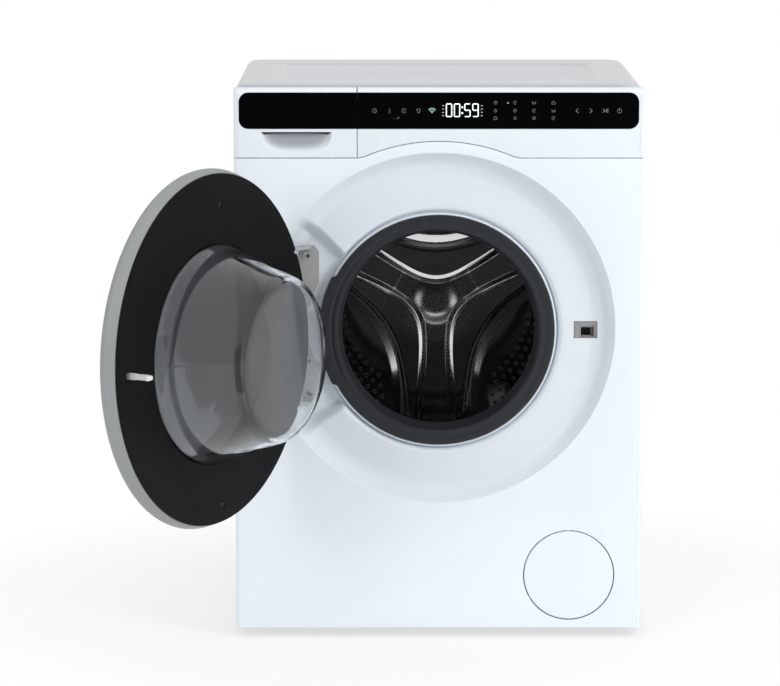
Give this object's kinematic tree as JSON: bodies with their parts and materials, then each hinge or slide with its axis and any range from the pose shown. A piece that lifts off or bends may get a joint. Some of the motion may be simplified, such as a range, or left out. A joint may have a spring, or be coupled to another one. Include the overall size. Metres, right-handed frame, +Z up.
{
  "type": "compact washing machine",
  "caption": "Compact front-loading washing machine with a round glass door standing open, a black touch panel strip and a detergent drawer.",
  "frame": {"origin": "on the floor, midway between the four feet", "axes": "+X to the machine's right as seen from the front, +Y from front to back, +Z up"},
  "size_m": [0.6521, 0.8252, 0.698],
  "materials": {
    "enamel_white": "gloss",
    "white_plastic": "satin",
    "galvanised": "satin",
    "base_plastic": "matte",
    "tub_plastic": "matte",
    "black_glass": "gloss",
    "rubber_dark": "matte",
    "drum_steel": "polished",
    "cast_aluminium": "cast",
    "bearing_steel": "polished",
    "weight": "cast",
    "motor_black": "satin",
    "lifter_plastic": "satin",
    "board_green": "satin",
    "grey_plastic": "satin",
    "silver_ring": "satin",
    "frame_black": "matte",
    "clear_glass": "gloss"
  },
  "bodies": {
    "cabinet": {"side_panel_left": "enamel_white", "side_panel_right": "enamel_white", "rear_panel": "galvanised", "rear_cover": "base_plastic", "base_tray": "base_plastic", "front_panel": "enamel_white", "front_crossbar": "galvanised", "rear_crossbar": "galvanised", "worktop": "white_plastic", "transit_caps": "base_plastic", "cord_gland": "rubber_dark", "foot_nuts": "galvanised", "control_fascia": "white_plastic", "control_glass": "black_glass", "display_board": "board_green", "drawer_housing": "grey_plastic", "inlet_valve": "white_plastic", "inlet_hose": "grey_plastic", "dispenser_hose": "rubber_dark", "tub_front": "tub_plastic", "tub_rear": "tub_plastic", "door_seal": "rubber_dark", "seal_clamp": "galvanised", "shaft_seal": "rubber_dark", "bearings": "bearing_steel", "drive_belt": "rubber_dark", "motor": "motor_black", "suspension_springs": "galvanised", "dampers": "galvanised", "counterweights": "weight", "heater": "galvanised", "drain_pump": "base_plastic", "drain_hose": "grey_plastic", "door_lock": "grey_plastic", "hinge_bracket": "galvanised", "hinge_pin": "bearing_steel"},
    "door": {"hinge_arm": "galvanised", "door_cover": "black_glass", "door_ring": "silver_ring", "door_frame": "frame_black", "door_glass": "clear_glass"},
    "latch": {"door_latch": "grey_plastic"},
    "lock_catch": {"lock_slider": "grey_plastic"},
    "drum": {"drum_shell": "drum_steel", "drum_front_rim": "drum_steel", "drum_rear_wall": "drum_steel", "drum_lifters": "lifter_plastic", "drum_spider": "cast_aluminium", "drum_pulley": "cast_aluminium"},
    "motor_rotor": {"motor_pulley": "galvanised"},
    "drawer": {"drawer_front": "white_plastic", "drawer_glass": "black_glass", "detergent_tray": "white_plastic"},
    "hatch": {"filter_hatch": "white_plastic"},
    "filter": {"pump_filter": "grey_plastic"},
    "impeller": {"pump_impeller": "white_plastic"},
    "foot_fl": {"foot_front_left": "rubber_dark"},
    "foot_fr": {"foot_front_right": "rubber_dark"},
    "foot_rl": {"foot_rear_left": "rubber_dark"},
    "foot_rr": {"foot_rear_right": "rubber_dark"}
  },
  "joints": [
    {"name": "door_hinge", "type": "hinge", "parent": "cabinet", "child": "door", "pos_m": [-0.1893, -0.239, 0.3935], "axis": [0, 0, 1], "range_deg": [0, 119.9]},
    {"name": "latch_swing", "type": "hinge", "parent": "door", "child": "latch", "pos_m": [-0.36845, -0.5666, 0.3861], "axis": [0, 0, 1], "range_deg": [0, 6], "stiffness_Nm_per_rad": 0.05},
    {"name": "lock_catch_slide", "type": "slide", "parent": "cabinet", "child": "lock_catch", "axis": [-1, 0, 0], "range_m": [0, 0.002], "stiffness_N_per_m": 200},
    {"name": "drum_spin", "type": "hinge", "parent": "cabinet", "child": "drum", "pos_m": [0, 0, 0.3885], "axis": [0, 1, 0], "continuous": true},
    {"name": "motor_spin", "type": "hinge", "parent": "cabinet", "child": "motor_rotor", "pos_m": [0.06, 0, 0.102], "axis": [0, 1, 0], "continuous": true},
    {"name": "drawer_slide", "type": "slide", "parent": "cabinet", "child": "drawer", "axis": [0, -1, 0], "range_m": [0, 0.18]},
    {"name": "hatch_pull", "type": "slide", "parent": "cabinet", "child": "hatch", "axis": [0, -1, 0], "range_m": [0, 0.03]},
    {"name": "filter_turn", "type": "hinge", "parent": "cabinet", "child": "filter", "pos_m": [0.1645, 0, 0.0795], "axis": [0, 1, 0], "range_deg": [0, 180]},
    {"name": "impeller_spin", "type": "hinge", "parent": "cabinet", "child": "impeller", "pos_m": [0.1645, 0, 0.0795], "axis": [0, 1, 0], "continuous": true},
    {"name": "foot_fl_screw", "type": "slide", "parent": "cabinet", "child": "foot_fl", "axis": [0, 0, -1], "range_m": [0, 0.015]},
    {"name": "foot_fr_screw", "type": "slide", "parent": "cabinet", "child": "foot_fr", "axis": [0, 0, -1], "range_m": [0, 0.015]},
    {"name": "foot_rl_screw", "type": "slide", "parent": "cabinet", "child": "foot_rl", "axis": [0, 0, -1], "range_m": [0, 0.015]},
    {"name": "foot_rr_screw", "type": "slide", "parent": "cabinet", "child": "foot_rr", "axis": [0, 0, -1], "range_m": [0, 0.015]}
  ],
  "couplings": [
    {"joint": "motor_spin", "follows": "drum_spin", "ratio": 14}
  ]
}
